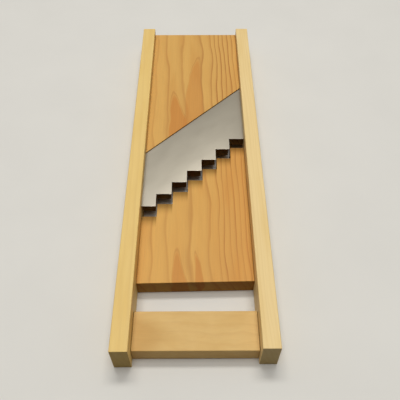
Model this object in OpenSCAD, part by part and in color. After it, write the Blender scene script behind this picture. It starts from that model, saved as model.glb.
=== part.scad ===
// Wooden vegetable slicer with a stepped steel blade.
// X runs across the slicer, Y from the front crossbar to the back end, and Z is up.
// The origin lies under the middle of the slicer, on the surface that it rests on.

/* [Side rails] */
// Width over both side rails
overall_width = 100; // [88:1:120]
// Length of the right rail
rail_length = 320; // [300:1:360]
// How far the left rail's front end stands ahead of the right one
left_rail_lead = 1.5; // [0:0.5:3]
// Thickness of each rail, across the slicer
rail_width = 11; // [9:0.5:14]
// Height of the rails
rail_height = 25; // [23:0.5:30]
// Chamfer along the long edges of the rails
rail_edge = 0.6; // [0.2:0.1:1.2]

/* [Boards] */
// Thickness of both boards and of the crossbar
board_thickness = 12.5; // [11:0.5:14]
// Height of the lower board and the crossbar above the table
floor_gap = 0.7; // [0.2:0.1:1.5]
// Drop from the upper board's top to the lower board's top
slice_drop = 5; // [3.5:0.25:6]
// Chamfer along the top side edges of the lower board and the crossbar
board_edge = 0.7; // [0.2:0.1:1.2]
// Clearance between each board and the rail beside it
side_fit = 0.1; // [0.05:0.05:0.3]

/* [Crossbar and finger slot] */
// Distance from the right rail's front end to the crossbar
crossbar_setback = 3.5; // [1:0.5:6]
// Depth of the crossbar, front to back
crossbar_depth = 25.8; // [20:0.2:30]
// Length of the finger slot along the left rail
finger_slot = 19.6; // [16:0.2:24]
// How much farther back the lower board's front edge is at its right end
front_skew = 1.4; // [0:0.2:3]

/* [Blade] */
// Thickness of the blade
blade_thickness = 1.2; // [0.8:0.1:1.6]
// Number of steps in the cutting edge
step_count = 7; // [5:1:9]
// Distance along the slicer from one step to the next
step_rise = 11.35; // [9:0.05:13]
// How far the steps are shifted towards the right rail
step_shift = -0.9; // [-2:0.1:2]
// Distance from the right rail's front end to the first cutting edge
first_edge = 109.2; // [104:0.2:120]
// Width of the blade, square to its back edge, at the first step's corner
blade_width = 44.3; // [38:0.1:50]
// Angle of the blade's back edge across the slicer
seam_angle = 45; // [40:1:50]
// Width of the bevel ground under each cutting edge
bevel_width = 2.4; // [1:0.2:4]
// Thickness left at the cutting edges
edge_thickness = 0.2; // [0.1:0.05:0.4]
// How far each end of the blade is let into its rail
blade_housing = 3; // [1.5:0.5:5]
// How far the blade's top lies below the upper board's top
blade_set = 0.8; // [0.3:0.1:1.2]
// Clearance around the blade in its housings
blade_fit = 0.1; // [0.05:0.05:0.3]
// Clearance between the blade's back edge and the upper board
seam_fit = 0.3; // [0.1:0.1:0.6]

/* [Mouth] */
// Distance from the cutting edges forward to the lower board's stepped end
mouth_gap = 5.9; // [4.4:0.1:7]
// Distance from the cutting edges back to the bed under the blade
bed_setback = 4.5; // [3:0.1:7]
// Sideways distance from the blade's steps to the steps in the two boards
riser_gap = 0.7; // [0.3:0.1:1.5]

/* [Nails] */
// Diameter of the nail shanks
nail_diameter = 1.8; // [1.4:0.1:2.4]
// Length of the nails
nail_length = 28; // [22:1:34]
// Diameter of the nail heads
nail_head = 4; // [3:0.2:5]
// Thickness of the nail heads
nail_head_thickness = 0.8; // [0.5:0.1:1.2]
// Length of the nail points
nail_point = 3; // [2:0.5:5]
// Distance from the end of a board to its nearest nail
nail_margin = 13; // [9:0.5:16]
// Distance from the crossbar's edges to its nails
crossbar_nail_margin = 6.5; // [5:0.5:9]
// Clearance around the nails in their holes
nail_fit = 0.05; // [0.02:0.01:0.1]

/* [Hidden] */
$fn = 32;
rail_colour = [0.88, 0.77, 0.53];
board_colour = [0.83, 0.62, 0.35];
crossbar_colour = [0.82, 0.67, 0.42];
blade_colour = [0.66, 0.65, 0.61];
nail_colour = [0.55, 0.54, 0.52];

overlap = 1;
inner_half = overall_width / 2 - rail_width;
step_run = 2 * inner_half / step_count;
front_y = (left_rail_lead - rail_length) / 2;

lower_top = floor_gap + board_thickness;
upper_top = lower_top + slice_drop;
upper_bottom = upper_top - board_thickness;
blade_top = upper_top - blade_set;
blade_bottom = blade_top - blade_thickness;

lower_front = crossbar_setback + crossbar_depth + finger_slot;
last_edge = edge_y(step_count - 1);
board_half = inner_half - side_fit;
side_lower_z = floor_gap + board_thickness / 2;
side_upper_z = (upper_bottom + blade_bottom) / 2;

// Right-hand corner of a step, where the cutting edge ends and the riser begins
function corner_x(i) = -inner_half + step_run * (i + 1) + step_shift;
// Place of a step's cutting edge along the slicer
function edge_y(i) = first_edge + step_rise * i;
// Place of the blade's back edge along the slicer, for a distance across it
function seam_y(x) =
    first_edge + (x - corner_x(0)) * tan(seam_angle) + blade_width / cos(seam_angle);
// Left and right ends of a step, where the outer steps run on to the given half width
function step_left(i, half, shift) = i == 0 ? -half : corner_x(i - 1) + shift;
function step_right(i, half, shift) = i == step_count - 1 ? half : corner_x(i) + shift;
// Stepped line from the left rail to the right one, ahead of or behind the cutting edges
function step_points(half, shift, offset) = [
    for (i = [0 : step_count - 1]) each [
        [step_left(i, half, shift), edge_y(i) + offset],
        [step_right(i, half, shift), edge_y(i) + offset]
    ]
];
// Nail places between two ends of a board
function spaced(from, to, count) =
    [for (k = [0 : count - 1]) from + (to - from) * k / (count - 1)];

crossbar_nail_y = spaced(
    crossbar_setback + crossbar_nail_margin,
    crossbar_setback + crossbar_depth - crossbar_nail_margin,
    2
);
lower_nail_left_y = spaced(
    lower_front + nail_margin,
    first_edge - mouth_gap - nail_margin,
    2
);
lower_nail_right_y = spaced(
    lower_front + front_skew + nail_margin,
    last_edge - mouth_gap - nail_margin,
    3
);
upper_nail_left_y = spaced(
    first_edge + bed_setback + nail_margin,
    rail_length - nail_margin,
    4
);
upper_nail_right_y = spaced(
    last_edge + bed_setback + nail_margin,
    rail_length - nail_margin,
    3
);

// Moves a piece from the right rail's front end to the slicer's own origin
module placed() {
    translate([0, front_y, 0])
        children();
}

// Side view of a piece, in Y and Z, carried across the slicer from one X to another
module across(from, to) {
    translate([from, 0, 0])
        rotate([90, 0, 90])
            linear_extrude(height = to - from)
                children();
}

// End view of a piece, in X and Z, carried along the slicer from one Y to another
module along(from, to) {
    translate([0, to, 0])
        rotate([90, 0, 0])
            linear_extrude(height = to - from)
                children();
}

// Section with all four corners chamfered
module chamfered_section(width, height, edge) {
    polygon([
        [edge, 0],
        [width - edge, 0],
        [width, edge],
        [width, height - edge],
        [width - edge, height],
        [edge, height],
        [0, height - edge],
        [0, edge]
    ]);
}

// Section with its two top corners chamfered
module board_section(half, thickness, edge) {
    polygon([
        [-half, 0],
        [half, 0],
        [half, thickness - edge],
        [half - edge, thickness],
        [edge - half, thickness],
        [-half, thickness - edge]
    ]);
}

// One nail with its head in the plane X = 0, pointing along +X
module nail(extra) {
    rotate([0, 90, 0])
        rotate_extrude()
            polygon([
                [0, 0],
                [nail_head / 2 + extra, 0],
                [nail_head / 2 + extra, nail_head_thickness + extra],
                [nail_diameter / 2 + extra, nail_head_thickness + extra],
                [nail_diameter / 2 + extra, nail_length - nail_point],
                [0, nail_length + extra]
            ]);
}

module nails_left(places, z, extra = 0) {
    for (y = places)
        translate([-overall_width / 2, y, z])
            nail(extra);
}

module nails_right(places, z, extra = 0) {
    for (y = places)
        translate([overall_width / 2, y, z])
            mirror([1, 0, 0])
                nail(extra);
}

module left_nail_holes() {
    nails_left(crossbar_nail_y, side_lower_z, nail_fit);
    nails_left(lower_nail_left_y, side_lower_z, nail_fit);
    nails_left(upper_nail_left_y, side_upper_z, nail_fit);
}

module right_nail_holes() {
    nails_right(crossbar_nail_y, side_lower_z, nail_fit);
    nails_right(lower_nail_right_y, side_lower_z, nail_fit);
    nails_right(upper_nail_right_y, side_upper_z, nail_fit);
}

// Slot in a rail's inner face that holds one end of the blade
module blade_slot(side, from, to) {
    depth = blade_housing + blade_fit;
    middle = side * (inner_half + (depth - overlap) / 2);
    translate([
        middle - (depth + overlap) / 2,
        from - blade_fit,
        blade_bottom - blade_fit
    ])
        cube([depth + overlap, to - from + 2 * blade_fit, blade_thickness + 2 * blade_fit]);
}

module left_rail() {
    color(rail_colour)
        placed()
            difference() {
                translate([-overall_width / 2, 0, 0])
                    along(-left_rail_lead, rail_length)
                        chamfered_section(rail_width, rail_height, rail_edge);
                blade_slot(-1, edge_y(0), seam_y(-inner_half));
                left_nail_holes();
            }
}

module right_rail() {
    color(rail_colour)
        placed()
            difference() {
                translate([inner_half, 0, 0])
                    along(0, rail_length)
                        chamfered_section(rail_width, rail_height, rail_edge);
                blade_slot(1, last_edge, seam_y(inner_half + blade_housing));
                right_nail_holes();
            }
}

module upper_board() {
    color(board_colour)
        placed()
            difference() {
                union() {
                    translate([0, 0, upper_bottom])
                        linear_extrude(height = board_thickness)
                            polygon([
                                [-board_half, seam_y(-board_half)],
                                [board_half, seam_y(board_half)],
                                [board_half, rail_length],
                                [-board_half, rail_length]
                            ]);
                    blade_bed();
                }
                nails_left(upper_nail_left_y, side_upper_z, nail_fit);
                nails_right(upper_nail_right_y, side_upper_z, nail_fit);
            }
}

// Stepped ledge of the upper board that carries the blade
module blade_bed() {
    translate([0, 0, upper_bottom])
        linear_extrude(height = blade_bottom - upper_bottom)
            polygon(concat(
                step_points(board_half, -riser_gap, bed_setback),
                [
                    [board_half, rail_length],
                    [-board_half, rail_length]
                ]
            ));
}

module lower_board() {
    color(board_colour)
        placed()
            difference() {
                intersection() {
                    linear_extrude(height = upper_top)
                        polygon(concat(
                            step_points(board_half, riser_gap, -mouth_gap),
                            [
                                [board_half, lower_front + front_skew],
                                [-board_half, lower_front]
                            ]
                        ));
                    translate([0, 0, floor_gap])
                        along(0, rail_length)
                            board_section(board_half, board_thickness, board_edge);
                }
                nails_left(lower_nail_left_y, side_lower_z, nail_fit);
                nails_right(lower_nail_right_y, side_lower_z, nail_fit);
            }
}

module crossbar() {
    color(crossbar_colour)
        placed()
            difference() {
                translate([0, 0, floor_gap])
                    along(crossbar_setback, crossbar_setback + crossbar_depth)
                        board_section(board_half, board_thickness, board_edge);
                nails_left(crossbar_nail_y, side_lower_z, nail_fit);
                nails_right(crossbar_nail_y, side_lower_z, nail_fit);
            }
}

module blade() {
    end = inner_half + blade_housing;
    color(blade_colour)
        placed()
            difference() {
                translate([0, 0, blade_bottom])
                    linear_extrude(height = blade_thickness)
                        polygon(concat(
                            step_points(end, 0, 0),
                            [
                                [end, seam_y(end) - seam_fit],
                                [-end, seam_y(-end) - seam_fit]
                            ]
                        ));
                blade_bevels(end);
            }
}

// Wedges ground away under the cutting edges, so that the blade's top stays flat
module blade_bevels(end) {
    for (i = [0 : step_count - 1])
        across(step_left(i, end, 0), step_right(i, end, 0) + overlap)
            polygon([
                [edge_y(i) - overlap, blade_bottom - overlap],
                [edge_y(i) + bevel_width, blade_bottom - overlap],
                [edge_y(i) + bevel_width, blade_bottom],
                [edge_y(i), blade_top - edge_thickness],
                [edge_y(i) - overlap, blade_top - edge_thickness]
            ]);
}

module upper_board_nails() {
    color(nail_colour)
        placed() {
            nails_left(upper_nail_left_y, side_upper_z);
            nails_right(upper_nail_right_y, side_upper_z);
        }
}

module lower_board_nails() {
    color(nail_colour)
        placed() {
            nails_left(lower_nail_left_y, side_lower_z);
            nails_right(lower_nail_right_y, side_lower_z);
        }
}

module crossbar_nails() {
    color(nail_colour)
        placed() {
            nails_left(crossbar_nail_y, side_lower_z);
            nails_right(crossbar_nail_y, side_lower_z);
        }
}

left_rail();
right_rail();
upper_board();
lower_board();
crossbar();
blade();
upper_board_nails();
lower_board_nails();
crossbar_nails();
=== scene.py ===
import math
import random

import bmesh
import bpy
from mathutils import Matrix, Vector


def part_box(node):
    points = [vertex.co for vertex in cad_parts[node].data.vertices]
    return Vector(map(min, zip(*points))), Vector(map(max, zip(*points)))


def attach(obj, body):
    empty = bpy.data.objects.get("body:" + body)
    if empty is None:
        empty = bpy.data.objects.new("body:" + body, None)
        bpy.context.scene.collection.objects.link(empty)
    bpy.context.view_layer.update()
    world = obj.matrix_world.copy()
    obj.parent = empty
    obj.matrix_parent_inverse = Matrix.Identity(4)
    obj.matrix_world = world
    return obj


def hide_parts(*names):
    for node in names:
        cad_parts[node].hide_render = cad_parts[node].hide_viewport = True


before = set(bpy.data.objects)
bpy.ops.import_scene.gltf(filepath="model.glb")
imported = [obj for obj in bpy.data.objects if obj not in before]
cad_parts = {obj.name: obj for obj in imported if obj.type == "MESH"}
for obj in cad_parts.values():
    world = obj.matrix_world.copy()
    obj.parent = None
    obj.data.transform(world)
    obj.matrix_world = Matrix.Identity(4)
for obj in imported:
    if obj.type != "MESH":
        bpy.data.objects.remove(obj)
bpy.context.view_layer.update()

millimetre = 0.001
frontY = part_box("right_rail")[0].y  # the right rail's front end: lengths below start here
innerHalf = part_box("right_rail")[0].x / millimetre
railWidth = (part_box("right_rail")[1].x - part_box("right_rail")[0].x) / millimetre
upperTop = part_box("upper_board")[1].z / millimetre
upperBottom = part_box("upper_board")[0].z / millimetre
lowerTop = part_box("lower_board")[1].z / millimetre
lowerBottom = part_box("lower_board")[0].z / millimetre
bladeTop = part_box("blade")[1].z / millimetre
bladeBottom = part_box("blade")[0].z / millimetre


def colour(red, green, blue):
    # a colour as it is read off a screen, made linear for the shaders
    def linear(value):
        value /= 255
        return value / 12.92 if value <= 0.04045 else ((value + 0.055) / 1.055) ** 2.4
    return (linear(red), linear(green), linear(blue), 1)


def toWorld(point):
    x, y, z = point
    return Vector((x * millimetre, y * millimetre + frontY, z * millimetre))


def toLengths(point):
    return point.x / millimetre, (point.y - frontY) / millimetre, point.z / millimetre


def pieceFrom(name, mesh):
    piece = bpy.data.objects.new(name, mesh)
    bpy.context.scene.collection.objects.link(piece)
    return piece


def closed(name, rings):
    # solid between two rings of corners, each ring a flat end
    shape = bmesh.new()
    first, last = [[shape.verts.new(toWorld(corner)) for corner in ring] for ring in rings]
    shape.faces.new(first)
    shape.faces.new(last)
    for i in range(len(first)):
        j = (i + 1) % len(first)
        shape.faces.new((first[i], first[j], last[j], last[i]))
    bmesh.ops.recalc_face_normals(shape, faces=shape.faces)
    mesh = bpy.data.meshes.new(name)
    shape.to_mesh(mesh)
    shape.free()
    return pieceFrom(name, mesh)


def prism(name, outline, low, high):
    # upright solid over an outline given in X and Y
    return closed(name, [[(x, y, z) for x, y in outline] for z in (low, high)])


def block(name, xRange, yRange, zRange):
    (x0, x1), (y0, y1), (z0, z1) = xRange, yRange, zRange
    return prism(name, [(x0, y0), (x1, y0), (x1, y1), (x0, y1)], z0, z1)


def revolved(name, profile, place, side, segments=28):
    # round solid about X: profile is (distance inwards, radius), place is where its outer face lies
    shape = bmesh.new()
    x, y, z = place
    rings = []
    for depth, radius in profile:
        if radius == 0:
            rings.append([shape.verts.new(toWorld((x - side * depth, y, z)))])
            continue
        turns = [math.tau * k / segments for k in range(segments)]
        rings.append([
            shape.verts.new(toWorld((x - side * depth, y + radius * math.cos(t), z + radius * math.sin(t))))
            for t in turns
        ])
    for first, second in zip(rings, rings[1:]):
        for k in range(segments):
            m = (k + 1) % segments
            corners = [first[k % len(first)], first[m % len(first)]]
            corners += [second[m % len(second)], second[k % len(second)]]
            shape.faces.new(list(dict.fromkeys(corners)))
    bmesh.ops.recalc_face_normals(shape, faces=shape.faces)
    mesh = bpy.data.meshes.new(name)
    shape.to_mesh(mesh)
    shape.free()
    return pieceFrom(name, mesh)


def joined(name, parts):
    # several loose solids as one object
    shape = bmesh.new()
    for part in parts:
        shape.from_mesh(part.data)
    mesh = bpy.data.meshes.new(name)
    shape.to_mesh(mesh)
    shape.free()
    for part in parts:
        bpy.data.objects.remove(part)
    return pieceFrom(name, mesh)


def applied(piece):
    depsgraph = bpy.context.evaluated_depsgraph_get()
    mesh = bpy.data.meshes.new_from_object(
        piece.evaluated_get(depsgraph), preserve_all_data_layers=True, depsgraph=depsgraph)
    piece.modifiers.clear()
    piece.data = mesh
    return piece


def cut(piece, cutters):
    for cutter in cutters:
        step = piece.modifiers.new("cut", "BOOLEAN")
        step.operation = "DIFFERENCE"
        step.solver = "EXACT"
        step.object = cutter
    applied(piece)
    for cutter in cutters:
        bpy.data.objects.remove(cutter)
    return piece


def eased(piece, widthOf, segments=3):
    # rounds every real edge by its own width in millimetres
    shape = bmesh.new()
    shape.from_mesh(piece.data)
    bmesh.ops.dissolve_limit(shape, angle_limit=math.radians(1), verts=shape.verts, edges=shape.edges)
    layer = shape.edges.layers.float.new("bevel_weight_edge")
    for edge in shape.edges:
        if len(edge.link_faces) == 2 and edge.calc_face_angle(0) > math.radians(20):
            middle = toLengths((edge.verts[0].co + edge.verts[1].co) / 2)
            along = (edge.verts[1].co - edge.verts[0].co).normalized()
            edge[layer] = widthOf(middle, along)
    shape.to_mesh(piece.data)
    shape.free()
    step = piece.modifiers.new("ease", "BEVEL")
    step.limit_method = "WEIGHT"
    step.width = millimetre
    step.segments = segments
    step.use_clamp_overlap = True
    return applied(piece)


def dressed(piece, material, node):
    # smooth shading with flat faces kept flat, then its material slot, its body, and the CAD node it stands
    # for hidden
    for face in piece.data.polygons:
        face.use_smooth = True
    piece.data.set_sharp_from_angle(angle=math.radians(38))
    step = piece.modifiers.new("flat faces", "WEIGHTED_NORMAL")
    step.keep_sharp = True
    piece.data.materials.clear()
    piece.data.materials.append(material)
    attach(piece, "root")
    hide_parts(node)
    return piece


class Maker:
    # short ways to set up shader nodes
    def __init__(self, name):
        self.material = bpy.data.materials.new(name)
        self.material.use_nodes = True
        self.tree = self.material.node_tree
        self.shader = self.tree.nodes["Principled BSDF"]

    def plug(self, socket, value):
        if isinstance(value, bpy.types.NodeSocket):
            self.tree.links.new(value, socket)
        else:
            socket.default_value = value

    def node(self, kind, sockets=None, **settings):
        made = self.tree.nodes.new("ShaderNode" + kind)
        for key, value in settings.items():
            setattr(made, key, value)
        for key, value in (sockets or {}).items():
            self.plug(made.inputs[key], value)
        return made

    def sum(self, operation, *values, clamp=False):
        made = self.node("Math", operation=operation, use_clamp=clamp)
        for socket, value in zip(made.inputs, values):
            self.plug(socket, value)
        return made.outputs[0]

    def mix(self, factor, first, second, how="MIX"):
        made = self.node("Mix", data_type="RGBA", blend_type=how)
        for index, value in ((0, factor), (6, first), (7, second)):
            self.plug(made.inputs[index], value)
        return made.outputs[2]

    def stretch(self, vector, x, y, z):
        # the place divided by a length along each axis
        made = self.node("VectorMath", {0: vector, 1: (1 / x, 1 / y, 1 / z)}, operation="MULTIPLY")
        return made.outputs[0]

    def noise(self, vector, detail=2.0, roughness=0.5, offset=0.0):
        made = self.node(
            "TexNoise",
            {"Vector": vector, "W": offset, "Scale": 1.0, "Detail": detail, "Roughness": roughness},
            noise_dimensions="4D")
        return made.outputs["Fac"]

    def fit(self, value, fromLow, fromHigh, toLow=0.0, toHigh=1.0, how="SMOOTHSTEP"):
        made = self.node("MapRange", {
            "Value": value, "From Min": fromLow, "From Max": fromHigh,
            "To Min": toLow, "To Max": toHigh}, interpolation_type=how)
        return made.outputs["Result"]

    def curve(self, value, points):
        # smooth curve through listed points: X in millimetres to any number
        xs, ys = [p[0] for p in points], [p[1] for p in points]
        low, high = min(ys), max(ys)
        made = self.node("FloatCurve", {
            "Factor": 1.0, "Value": self.fit(value, xs[0], xs[-1], how="LINEAR")})
        line = made.mapping.curves[0]
        places = [((x - xs[0]) / (xs[-1] - xs[0]), (y - low) / (high - low)) for x, y in points]
        line.points[0].location = places[0]
        line.points[1].location = places[-1]
        for place in places[1:-1]:
            line.points.new(*place)
        made.mapping.update()
        return self.fit(made.outputs[0], 0.0, 1.0, low, high, how="LINEAR")

    def ramp(self, value, stops):
        made = self.node("ValToRGB", {"Fac": value})
        elements = made.color_ramp.elements
        while len(elements) < len(stops):
            elements.new(0.5)
        for element, (position, level) in zip(elements, stops):
            element.position = position
            element.color = (level, level, level, 1)
        return self.node("SeparateColor", {"Color": made.outputs["Color"]}).outputs[0]

    def shaded(self, tint, shade):
        grey = self.node("CombineColor", {0: shade, 1: shade, 2: shade}).outputs[0]
        return self.mix(1.0, tint, grey, "MULTIPLY")


def woodMaterial(name, look):
    make = Maker(name)
    lengths = make.node("VectorMath", {
        0: make.node("TexCoord").outputs["Object"],
        1: (1 / millimetre,) * 3, 2: (0, -frontY / millimetre, 0)}, operation="MULTIPLY_ADD")
    parts = make.node("SeparateXYZ", {0: lengths.outputs[0]})
    across, length, height = parts.outputs
    if look["grainAlong"] == "x":
        across, length = length, across
    place = make.node("CombineXYZ", {0: across, 1: length, 2: height}).outputs[0]

    # the grain wanders a little as it runs along the board, and less where it is close
    sway = across
    loose = make.curve(across, look["loose"])
    for size, run, amount, offset in look["wander"]:
        drift = make.sum("SUBTRACT", make.noise(make.stretch(place, size, run, size), 1, 0.4, offset), 0.5)
        sway = make.sum("MULTIPLY_ADD", make.sum("MULTIPLY", drift, loose), amount, sway)
    depth = make.sum("SUBTRACT", height, look["top"])

    # growth rings, and the dark line that closes each one
    rings = make.curve(make.sum("MULTIPLY_ADD", depth, look["ringLean"], sway), look["rings"])
    rings = make.sum("MULTIPLY_ADD", length, look["ringDrift"], rings)
    ring = make.sum("FRACT", rings)
    late = make.ramp(ring, look["ringProfile"])
    unlike = make.noise(make.node("CombineXYZ", {
        0: make.sum("FLOOR", rings),
        1: make.sum("DIVIDE", length, look["lineRun"])}).outputs[0], 0, 0.5, look["seed"])
    lineStrength = make.sum(
        "MULTIPLY", make.curve(across, look["lineStrength"]), make.fit(unlike, 0.3, 0.7, 0.55, 1.25))
    tint = make.mix(make.sum("MULTIPLY", late, lineStrength, clamp=True), look["earlyWood"], look["lateWood"])

    # broad warm areas, then the tongues where a ring comes up through the face
    broad = make.fit(make.noise(make.stretch(place, *look["broadSize"]), 2, 0.5, look["seed"] + 3), 0.4, 0.7)
    warmth = make.sum("MULTIPLY_ADD", broad, look["broadStrength"], make.curve(across, look["warmSide"]))
    tint = make.mix(warmth, tint, look["warmWood"])
    for x, tip, lean, spread, strength in look["tongues"]:
        below = make.sum("SUBTRACT", tip, length)
        aside = make.sum("SUBTRACT", make.sum("SUBTRACT", sway, x), make.sum("MULTIPLY", below, lean))
        aside = make.sum("DIVIDE", aside, spread)
        reach = make.sum("SUBTRACT", make.sum("MULTIPLY", aside, aside), below)  # below nought inside
        tint = make.mix(make.fit(reach, *look["tongueFade"], strength, 0.0), tint, look["tongueWood"])
        rim = make.fit(make.sum("ABSOLUTE", reach), 0.0, look["rimWidth"], look["rimStrength"], 0.0)
        tint = make.mix(rim, tint, look["lateWood"])

    # fine fibres
    fibres = make.noise(make.stretch(place, *look["fibreSize"]), 3, 0.6, look["seed"] + 7)
    shade = make.fit(fibres, 0.25, 0.75, 1 - look["fibreStrength"], 1 + look["fibreStrength"], "LINEAR")

    # sawn ends are darker and have less gloss; the factor is set so strong that it also paints shade on end
    # faces turned from the lamps and on the ledge under the blade, and on the crossbar's long front and back
    # faces it is painted shade only
    facing = make.node("SeparateXYZ", {0: make.node("TexCoord").outputs["Normal"]})
    darkening = 1.0
    for axis, level in look["endGrainAndPaintedShade"].items():
        turned = make.sum("ABSOLUTE", facing.outputs["XYZ".index(axis)])
        darkening = make.sum("MULTIPLY", darkening, make.fit(turned, 0.5, 0.95, 1.0, level))
    # darker just ahead of each step of the lower board's stepped end, by the listed shade over distance, with
    # ragged edges from the fibres; its gloss drops with it
    if "mouthDarkening" in look:
        mouthDarkening = look["mouthDarkening"]
        x, y, _ = parts.outputs
        step = make.sum("CEIL", make.sum("DIVIDE", make.sum("SUBTRACT", x, mouthDarkening["firstCorner"]), mouthDarkening["run"]))
        step = make.sum("MINIMUM", make.sum("MAXIMUM", step, 0.0), mouthDarkening["steps"] - 1.0)
        end = make.sum("MULTIPLY_ADD", step, mouthDarkening["rise"], mouthDarkening["firstEnd"])
        distance = make.sum("SUBTRACT", end, y)
        distance = make.sum("MULTIPLY_ADD", make.sum("SUBTRACT", fibres, 0.5), mouthDarkening["ragged"], distance)
        darkening = make.sum("MULTIPLY", darkening, make.curve(distance, mouthDarkening["shade"]))

    shader = make.shader
    make.plug(shader.inputs["Base Color"], make.shaded(tint, make.sum("MULTIPLY", shade, darkening)))
    make.plug(shader.inputs["Roughness"], make.fit(fibres, 0.2, 0.8, *look["roughness"], "LINEAR"))
    gloss = make.sum("MULTIPLY", make.sum("POWER", darkening, 2.0), look["gloss"])
    make.plug(shader.inputs["Specular IOR Level"], gloss)
    relief = make.sum("MULTIPLY_ADD", late, look["lineRelief"], fibres)
    bump = make.node("Bump", {"Height": relief, "Distance": look["relief"] * millimetre, "Strength": 1.0})
    make.plug(shader.inputs["Normal"], bump.outputs[0])
    return make.material


steps = {
    "count": 7,
    "rise": 11.35,
    "shift": -0.9,
    "firstEdge": 109.2,  # first cutting edge, from the right rail's front end
    "mouthGap": 5.9,  # lower board's stepped end, ahead of the cutting edges
    "bedSetback": 4.5,  # ledge under the blade, behind the cutting edges
    "riserGap": 0.7,
    "bladeWidth": 44.3,  # square to the blade's back edge
    "sideFit": 0.1,
}
stepRun = 2 * innerHalf / steps["count"]
boardHalf = innerHalf - steps["sideFit"]


def cornerX(i):
    return -innerHalf + stepRun * (i + 1) + steps["shift"]


def edgeY(i):
    return steps["firstEdge"] + steps["rise"] * i


def seamY(x):
    return steps["firstEdge"] + x - cornerX(0) + steps["bladeWidth"] * math.sqrt(2)


def steppedLine(half, shift, offset):
    line = []
    for i in range(steps["count"]):
        left = -half if i == 0 else cornerX(i - 1) + shift
        right = half if i == steps["count"] - 1 else cornerX(i) + shift
        line += [(left, edgeY(i) + offset), (right, edgeY(i) + offset)]
    return line


nails = {
    "radius": 0.9,
    "length": 28.0,
    "headRadius": 2.0,
    "headThickness": 0.8,
    "point": 3.0,
    "headEase": 0.18,
    "holeFit": 0.05,
    "seed": 11,
}
nailRows = {  # first and last place along each rail, and how many
    "upper_board_nails": {"left": (126.7, 307.0, 4), "right": (194.8, 307.0, 3), "z": 10.95},
    "lower_board_nails": {"left": (61.9, 90.3, 2), "right": (63.3, 158.4, 3), "z": 6.95},
    "crossbar_nails": {"left": (10.0, 22.8, 2), "right": (10.0, 22.8, 2), "z": 6.95},
}


def nailPlaces(node):
    row = nailRows[node]
    for side, key in ((-1, "left"), (1, "right")):
        first, last, count = row[key]
        for k in range(count):
            yield side, first + (last - first) * k / (count - 1), row["z"]


def nailHoles(side, reach):
    # one cutter for every nail on a side, straight in to the given depth
    grow = nails["holeFit"]
    holes = []
    for node in nailRows:
        for nailSide, y, z in nailPlaces(node):
            if nailSide != side:
                continue
            depth = nails["headThickness"] + grow
            head = nails["headRadius"] + grow
            profile = [(-1, 0), (-1, head), (depth, head), (depth, nails["radius"] + grow),
                       (reach, nails["radius"] + grow), (reach, 0)]
            holes.append(revolved("hole", profile, (side * (innerHalf + railWidth), y, z), side, 20))
    return joined("holes", holes)


def nailShafts(node):
    grow = nails["holeFit"]
    holes = []
    for side, y, z in nailPlaces(node):
        radius, tip = nails["radius"] + grow, nails["length"]
        profile = [(-1, 0), (-1, radius), (tip - nails["point"], radius), (tip + grow, 0)]
        holes.append(revolved("hole", profile, (side * (innerHalf + railWidth), y, z), side, 20))
    return joined("holes", holes)


def makeNails(material):
    wobble = random.Random(nails["seed"])
    for node in nailRows:
        made = []
        for side, y, z in nailPlaces(node):
            sunk = wobble.uniform(0.02, 0.12)
            ease, head, thick = nails["headEase"], nails["headRadius"], nails["headThickness"]
            shank = nails["radius"]
            profile = [
                (sunk + 0.03, 0), (sunk, head * 0.5), (sunk, head - ease),
                (sunk + ease * 0.3, head - ease * 0.3), (sunk + ease, head),
                (thick, head - 0.02), (thick, shank),
                (nails["length"] - nails["point"], shank), (nails["length"] - 0.4, 0.12), (nails["length"], 0),
            ]
            made.append(revolved("nail", profile, (side * (innerHalf + railWidth), y, z), side))
        dressed(joined(node.replace("_", " ").title().replace(" ", ""), made), material, node)


rails = {
    "edgeEase": 0.62,
    "endEase": 0.4,
    "bladeHousing": 3.0,
    "bladeFit": 0.1,
}


def makeRail(side, material):
    node = "left_rail" if side < 0 else "right_rail"
    low, high = (toLengths(corner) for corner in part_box(node))
    rail = block("LeftRail" if side < 0 else "RightRail", *zip(low, high))

    def width(middle, along):
        return rails["edgeEase"] if abs(along.y) > 0.9 else rails["endEase"]
    eased(rail, width, 4)
    fit = rails["bladeFit"]
    depth = rails["bladeHousing"] + fit
    face = side * innerHalf
    lastEdge = edgeY(0 if side < 0 else steps["count"] - 1)
    seamEnd = seamY(-innerHalf) if side < 0 else seamY(innerHalf + rails["bladeHousing"])
    slot = block("slot", sorted((face - side, face + side * depth)), (lastEdge - fit, seamEnd + fit),
                 (bladeBottom - fit, bladeTop + fit))
    cut(rail, [slot, nailHoles(side, nails["length"] + 1)])
    return dressed(rail, material, node)


boards = {
    "sideEase": 0.65,  # lower board's top edges beside the rails
    "mouthEase": 0.42,  # its stepped end
    "frontEase": 0.45,
    "seamEase": 0.22,  # upper board along the blade's back edge
    "plainEase": 0.35,
    "frontSkew": 1.4,
}


def makeUpperBoard(material):
    back = toLengths(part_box("upper_board")[1])[1]
    outline = steppedLine(boardHalf, -steps["riserGap"], steps["bedSetback"])
    board = prism("UpperBoard", outline + [(boardHalf, back), (-boardHalf, back)], upperBottom, upperTop)
    wide = innerHalf + 20
    recess = prism("recess", [(-wide, -50), (wide, -50), (wide, seamY(wide)), (-wide, seamY(-wide))],
                   bladeBottom, upperTop + 5)
    cut(board, [recess])

    def width(middle, along):
        x, y, z = middle
        if z < bladeBottom + 0.1:
            return 0.15 if z > upperBottom + 0.1 else boards["plainEase"]
        if abs(along.x) > 0.5 and y < back - 1:
            return boards["seamEase"]
        return boards["plainEase"]
    eased(board, width, 3)
    cut(board, [nailShafts("upper_board_nails")])
    return dressed(board, material, "upper_board")


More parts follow.
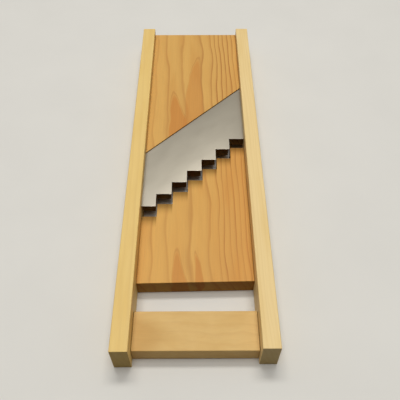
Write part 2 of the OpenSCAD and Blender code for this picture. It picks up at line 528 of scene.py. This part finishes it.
def makeLowerBoard(material):
    front = toLengths(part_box("lower_board")[0])[1]
    outline = steppedLine(boardHalf, steps["riserGap"], -steps["mouthGap"])
    outline += [(boardHalf, front + boards["frontSkew"]), (-boardHalf, front)]
    board = prism("LowerBoard", outline, lowerBottom, lowerTop)

    def width(middle, along):
        x, y, z = middle
        onTop = z > lowerTop - 0.1
        if abs(x) > boardHalf - 0.1:
            return boards["sideEase"] if onTop else boards["plainEase"]
        if y < front + 3:
            return boards["frontEase"]
        if onTop:
            return boards["mouthEase"]
        return 0.25
    eased(board, width, 3)
    cut(board, [nailShafts("lower_board_nails")])
    return dressed(board, material, "lower_board")


def makeCrossbar(material):
    low, high = (toLengths(corner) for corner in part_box("crossbar"))
    bar = block("Crossbar", *zip(low, high))

    def width(middle, along):
        if abs(along.y) > 0.9 and middle[2] > lowerTop - 0.1:
            return boards["sideEase"]
        return boards["frontEase"]
    eased(bar, width, 3)
    cut(bar, [nailShafts("crossbar_nails")])
    return dressed(bar, material, "crossbar")


blade = {
    "housing": 3.0,
    "seamFit": 0.3,
    "bevelWidth": 2.4,
    "edgeThickness": 0.2,
    "ease": 0.07,
}


def makeBlade(material):
    end = innerHalf + blade["housing"]
    outline = steppedLine(end, 0, 0)
    outline += [(end, seamY(end) - blade["seamFit"]), (-end, seamY(-end) - blade["seamFit"])]
    plate = prism("Blade", outline, bladeBottom, bladeTop)
    wedges = []  # what grinding takes off underneath each cutting edge
    for i in range(steps["count"]):
        left = -end - 1 if i == 0 else cornerX(i - 1)
        right = end + 1 if i == steps["count"] - 1 else cornerX(i) + 1
        y = edgeY(i)
        edgeZ = bladeTop - blade["edgeThickness"]
        profile = [(y - 1, bladeBottom - 1), (y + blade["bevelWidth"], bladeBottom - 1),
                   (y + blade["bevelWidth"], bladeBottom), (y, edgeZ), (y - 1, edgeZ)]
        wedges.append(closed("wedge", [[(x, py, pz) for py, pz in profile] for x in (left, right)]))
    cut(plate, [joined("wedges", wedges)])
    eased(plate, lambda middle, along: blade["ease"], 2)
    return dressed(plate, material, "blade")


def bladeMaterial():
    look = {
        "steel": colour(161, 155, 142),
        "roughness": (0.31, 0.37),
        "grindLength": 14.0,
        "grindWidth": 0.12,
        "relief": 0.0006,
        # painted sheen: how much brighter the steel is painted, from the back edge to the cutting edges, and
        # where across, in place of the bright room it reflects
        "paintedSheen": [(0, -0.03), (8, 0.02), (16, 0.08), (24, 0.14), (32, 0.22), (38, 0.33), (44, 0.45)],
        "paintedSheenAcross": [(-39, 0.0), (-26, 0.4), (-10, 0.8), (6, 1.2), (16, 1.2), (24, 0.85), (39, 0.25)],
    }
    make = Maker("satin steel")
    lengths = make.node("VectorMath", {
        0: make.node("TexCoord").outputs["Object"],
        1: (1 / millimetre,) * 3, 2: (0, -frontY / millimetre, 0)}, operation="MULTIPLY_ADD")
    parts = make.node("SeparateXYZ", {0: lengths.outputs[0]}).outputs
    # painted sheen: the steel is painted lighter towards the cutting edges and across the middle
    inward = make.sum("ADD", make.sum("SUBTRACT", parts[0], parts[1]), seamY(0))
    paintedSheen = make.curve(make.sum("MULTIPLY", inward, math.sqrt(0.5)), look["paintedSheen"])
    paintedSheen = make.sum("MULTIPLY_ADD", paintedSheen, make.curve(parts[0], look["paintedSheenAcross"]), 1.0)
    turned = make.node("VectorRotate", {"Vector": lengths.outputs[0], "Angle": math.radians(-45)},
                       rotation_type="Z_AXIS").outputs[0]
    lines = make.noise(make.stretch(turned, look["grindLength"], look["grindWidth"], 1.0), 2, 0.5, 2.0)
    cloud = make.noise(make.stretch(turned, 22.0, 9.0, 9.0), 2, 0.5, 5.0)
    wear = make.sum("ADD", make.sum("MULTIPLY", lines, 0.5), make.sum("MULTIPLY", cloud, 0.5))
    shader = make.shader
    shader.inputs["Metallic"].default_value = 1.0
    shade = make.sum("MULTIPLY", make.fit(wear, 0.3, 0.7, 0.97, 1.03, "LINEAR"), paintedSheen)
    make.plug(shader.inputs["Base Color"], make.shaded(look["steel"], shade))
    make.plug(shader.inputs["Roughness"], make.fit(wear, 0.3, 0.7, *look["roughness"], "LINEAR"))
    bump = make.node("Bump", {"Height": lines, "Distance": look["relief"] * millimetre, "Strength": 1.0})
    make.plug(shader.inputs["Normal"], bump.outputs[0])
    return make.material


def nailMaterial():
    look = {"steel": colour(150, 146, 140), "dull": colour(96, 88, 80), "roughness": (0.35, 0.6)}
    make = Maker("bright nail steel")
    lengths = make.node("VectorMath", {
        0: make.node("TexCoord").outputs["Object"], 1: (1 / millimetre,) * 3}, operation="MULTIPLY")
    specks = make.noise(make.stretch(lengths.outputs[0], 0.5, 0.5, 0.5), 3, 0.6, 1.0)
    shader = make.shader
    shader.inputs["Metallic"].default_value = 1.0
    make.plug(shader.inputs["Base Color"], make.mix(make.fit(specks, 0.45, 0.75), look["steel"], look["dull"]))
    make.plug(shader.inputs["Roughness"], make.fit(specks, 0.3, 0.7, *look["roughness"], "LINEAR"))
    return make.material


upperBoardLook = {
    "grainAlong": "y",
    "earlyWood": colour(209, 162, 86),
    "lateWood": colour(154, 92, 36),
    "warmWood": colour(194, 138, 65),
    "tongueWood": colour(190, 122, 50),
    "top": upperTop,
    "wander": [(16, 52, 13.0, 1.0), (6, 24, 3.2, 4.0)],
    "loose": [(-45, 0.7), (-25, 0.8), (0, 1.0), (14, 0.7), (24, 0.4), (45, 0.35)],
    "ringLean": 0.45,
    "ringDrift": 1 / 420,
    "rings": [(-45, 0.0), (-28, 2.0), (-12, 3.2), (4, 4.2), (14, 5.1), (20, 6.5), (45, 12.9)],
    "lineStrength": [(-45, 0.4), (-20, 0.42), (2, 0.5), (14, 0.7), (22, 0.95), (45, 1.0)],
    "ringProfile": [(0.0, 0.0), (0.55, 0.06), (0.78, 0.38), (0.9, 1.0), (0.96, 0.65), (1.0, 0.0)],
    "broadSize": (11, 70, 11),
    "broadStrength": 0.45,
    "warmSide": [(-45, 0.0), (5, 0.04), (20, 0.1), (45, 0.12)],
    "tongues": [(-18.8, 234, 0.096, 1.03, 0.72), (0.5, 283, -0.03, 0.95, 0.5)],  # across, tip, lean, spread
    "tongueFade": (-10, 1),
    "rimWidth": 3.5,
    "rimStrength": 0.3,
    "fibreSize": (0.5, 22, 0.5),
    "fibreStrength": 0.06,
    "lineRun": 160.0,  # how far along a dark line keeps its strength
    "lineRelief": -0.3,
    "endGrainAndPaintedShade": {"Y": 0.45},
    "roughness": (0.5, 0.62),
    "gloss": 0.22,
    "relief": 0.05,
    "seed": 2.0,
}
lowerBoardLook = dict(
    upperBoardLook,
    earlyWood=colour(212, 162, 84),
    warmWood=colour(200, 140, 65),
    top=lowerTop,
    wander=[(16, 50, 13.0, 11.0), (6, 24, 3.2, 14.0)],
    warmSide=[(-45, 0.0), (5, 0.0), (20, 0.35), (45, 0.5)],
    tongues=[(-11.5, 75, 0.05, 1.05, 0.6), (1.5, 73, 0.04, 0.62, 0.65)],
    tongueFade=(-6, 1),
    rimWidth=2.5,
    # darker just ahead of each step of the mouth
    mouthDarkening={
        "firstCorner": cornerX(0) + steps["riserGap"],
        "run": stepRun,
        "steps": steps["count"],
        "rise": steps["rise"],
        "firstEnd": steps["firstEdge"] - steps["mouthGap"],
        "ragged": 2.0,
        "shade": [(-1, 0.42), (0, 0.43), (3, 0.57), (5, 0.75), (7, 0.875), (10, 0.99), (14, 1.0)],
    })
rightRailLook = {
    "grainAlong": "y",
    "earlyWood": colour(229, 201, 142),
    "lateWood": colour(200, 162, 100),
    "warmWood": colour(219, 186, 118),
    "tongueWood": colour(219, 186, 118),
    "top": upperTop,
    "wander": [(12, 90, 7.0, 2.0), (3, 40, 1.2, 6.0)],
    "loose": [(-60, 1.0), (60, 0.9)],
    "ringLean": 0.35,
    "ringDrift": 1 / 200,
    "rings": [(-56, 0.0), (-51, 2.0), (-45, 3.2), (45, 24.0), (50, 26.4), (56, 28.0)],
    "lineStrength": [(-60, 0.26), (0, 0.24), (60, 0.2)],
    "ringProfile": [(0.0, 0.1), (0.5, 0.3), (0.8, 1.0), (0.95, 0.6), (1.0, 0.1)],
    "broadSize": (8, 60, 8),
    "broadStrength": 0.5,
    "warmSide": [(-60, 0.0), (60, 0.01)],
    "tongues": [],
    "fibreSize": (0.35, 16, 0.35),
    "fibreStrength": 0.035,
    "lineRun": 160.0,
    "lineRelief": -0.3,
    "endGrainAndPaintedShade": {"Y": 0.47},
    "roughness": (0.5, 0.62),
    "gloss": 0.25,
    "relief": 0.04,
    "seed": 9.0,
}
leftRailLook = dict(
    rightRailLook,
    earlyWood=colour(226, 193, 119),
    warmWood=colour(215, 176, 95),
    seed=14.0,
)
crossbarLook = {
    "grainAlong": "x",
    "earlyWood": colour(213, 176, 110),
    "lateWood": colour(184, 138, 74),
    "warmWood": colour(200, 158, 89),
    "tongueWood": colour(188, 144, 76),
    "top": lowerTop,
    "wander": [(14, 20, 9.0, 3.0), (4, 9, 2.4, 8.0)],
    "loose": [(-10, 1.0), (40, 0.9)],
    "ringLean": 0.5,
    "ringDrift": 1 / 150,
    "rings": [(-10, 0.0), (10, 3.0), (40, 8.0)],
    "lineStrength": [(-10, 0.2), (10, 0.18), (40, 0.22)],
    "ringProfile": [(0.0, 0.0), (0.5, 0.2), (0.85, 1.0), (0.95, 0.6), (1.0, 0.0)],
    "broadSize": (9, 16, 9),
    "broadStrength": 0.45,
    "warmSide": [(-10, 0.0), (40, 0.01)],
    "tongues": [(14, -14, 0.0, 3.2, 0.6)],
    "tongueFade": (-14, 6),
    "rimWidth": 3.0,
    "rimStrength": 0.0,
    "fibreSize": (0.4, 9, 0.4),
    "fibreStrength": 0.045,
    "lineRun": 160.0,
    "lineRelief": -0.3,
    # on the crossbar the Y faces are long grain: their darkening is painted shade
    "endGrainAndPaintedShade": {"X": 0.42, "Y": 0.79},
    "roughness": (0.5, 0.62),
    "gloss": 0.25,
    "relief": 0.04,
    "seed": 5.0,
}

print("rails, boards and crossbar")
makeRail(-1, woodMaterial("left rail wood", leftRailLook))
makeRail(1, woodMaterial("right rail wood", rightRailLook))
makeUpperBoard(woodMaterial("orange pine", upperBoardLook))
makeLowerBoard(woodMaterial("orange pine, darker by the mouth", lowerBoardLook))
makeCrossbar(woodMaterial("crossbar wood", crossbarLook))
print("blade and nails")
makeBlade(bladeMaterial())
makeNails(nailMaterial())

studio = {
    "floorColour": colour(215, 212, 204),
    "floorHalf": 3.0,
    "floorFade": (0.35, 1.3),  # from the middle of the slicer, in metres
    "keyPlace": (0.0, 0.62, 1.95),  # wide low strip behind the slicer
    "keyAim": (0.0, 0.0, 0.0),
    "keySize": (1.1, 0.30),
    "keyPower": 17.4,
    "overPlace": (0.0, -0.30, 2.0),
    "overAim": (0.0, -0.30, 0.0),
    "overSize": (1.0, 1.1),
    "overPower": 16.0,
    "skyLean": (0.8, 0.9),  # how much brighter towards the back, and upwards
    "skyRange": (-0.2, 1.0),
    "skyLevels": (0.03, 0.38),
    "backgroundColour": colour(215, 211, 203),
}


def makeFloor():
    half = studio["floorHalf"]
    shape = bmesh.new()
    bmesh.ops.create_grid(shape, x_segments=24, y_segments=24, size=half)
    mesh = bpy.data.meshes.new("Floor")
    shape.to_mesh(mesh)
    shape.free()
    floor = pieceFrom("Floor", mesh)
    make = Maker("pale table top")
    place = make.node("TexCoord").outputs["Object"]
    spots = make.noise(make.stretch(place, 0.05, 0.05, 0.05), 3, 0.5, 1.0)
    make.plug(make.shader.inputs["Base Color"],
              make.shaded(studio["floorColour"], make.fit(spots, 0.3, 0.7, 0.985, 1.015, "LINEAR")))
    make.shader.inputs["Roughness"].default_value = 0.75
    make.shader.inputs["Specular IOR Level"].default_value = 0.2
    # far from the slicer it turns into the plain background, so that no horizon shows
    path = make.node("LightPath").outputs
    seen = make.sum("MAXIMUM", path["Is Camera Ray"], path["Is Glossy Ray"])
    seen = make.sum("MAXIMUM", seen, path["Is Transmission Ray"])
    away = make.node("VectorMath", {0: place}, operation="LENGTH").outputs["Value"]
    far = make.sum("MULTIPLY", seen, make.fit(away, *studio["floorFade"]))
    plain = make.node("Emission", {"Color": studio["backgroundColour"]})
    faded = make.node("MixShader", {0: far, 1: make.shader.outputs[0], 2: plain.outputs[0]})
    make.plug(make.tree.nodes["Material Output"].inputs["Surface"], faded.outputs[0])
    floor.data.materials.append(make.material)


def makeLamp(name, place, aim, size, power):
    light = bpy.data.lights.new(name, "AREA")
    light.shape = "RECTANGLE"
    light.size, light.size_y = size
    light.energy = power
    lamp = bpy.data.objects.new(name, light)
    bpy.context.scene.collection.objects.link(lamp)
    lamp.location = place
    lamp.rotation_euler = (Vector(aim) - Vector(place)).to_track_quat("-Z", "Y").to_euler()


def makeSky():
    world = bpy.data.worlds.new("studio")
    bpy.context.scene.world = world
    world.use_nodes = True
    nodes, links = world.node_tree.nodes, world.node_tree.links
    nodes.clear()

    def sum(operation, first, second):
        made = nodes.new("ShaderNodeMath")
        made.operation = operation
        for socket, value in zip(made.inputs, (first, second)):
            if isinstance(value, bpy.types.NodeSocket):
                links.new(value, socket)
            else:
                socket.default_value = value
        return made.outputs[0]

    toward = nodes.new("ShaderNodeTexCoord")
    parts = nodes.new("ShaderNodeSeparateXYZ")
    links.new(toward.outputs["Generated"], parts.inputs[0])
    back, up = studio["skyLean"]
    lift = nodes.new("ShaderNodeMapRange")  # dim towards the camera, brighter above and behind
    lift.interpolation_type = "SMOOTHSTEP"
    links.new(sum("ADD", sum("MULTIPLY", parts.outputs["Y"], back), sum("MULTIPLY", parts.outputs["Z"], up)),
              lift.inputs["Value"])
    lift.inputs["From Min"].default_value, lift.inputs["From Max"].default_value = studio["skyRange"]
    lift.inputs["To Min"].default_value, lift.inputs["To Max"].default_value = studio["skyLevels"]
    plain = nodes.new("ShaderNodeBackground")
    plain.inputs["Color"].default_value = (1, 1, 1, 1)
    links.new(lift.outputs["Result"], plain.inputs["Strength"])
    shown = nodes.new("ShaderNodeBackground")
    shown.inputs["Color"].default_value = studio["backgroundColour"]
    path = nodes.new("ShaderNodeLightPath")
    seen = sum("MAXIMUM", path.outputs["Is Camera Ray"], path.outputs["Is Glossy Ray"])
    seen = sum("MAXIMUM", seen, path.outputs["Is Transmission Ray"])
    either = nodes.new("ShaderNodeMixShader")
    links.new(seen, either.inputs[0])
    links.new(plain.outputs[0], either.inputs[1])
    links.new(shown.outputs[0], either.inputs[2])
    out = nodes.new("ShaderNodeOutputWorld")
    links.new(either.outputs[0], out.inputs[0])


def makeCamera():
    lens = bpy.data.cameras.new("Camera")
    lens.sensor_width = 36.0
    lens.lens = 44.92
    lens.clip_start = 0.01
    camera = bpy.data.objects.new("Camera", lens)
    bpy.context.scene.collection.objects.link(camera)
    camera.location = (0.001765, -0.268853, 0.303222)
    camera.rotation_euler = [math.radians(a) for a in (38.13, -0.062, -0.311)]
    bpy.context.scene.camera = camera


print("floor, light and camera")
makeFloor()
makeSky()
makeLamp("KeyLamp", studio["keyPlace"], studio["keyAim"], studio["keySize"], studio["keyPower"])
makeLamp("OverLamp", studio["overPlace"], studio["overAim"], studio["overSize"], studio["overPower"])
makeCamera()
bpy.context.scene.view_settings.view_transform = "Standard"
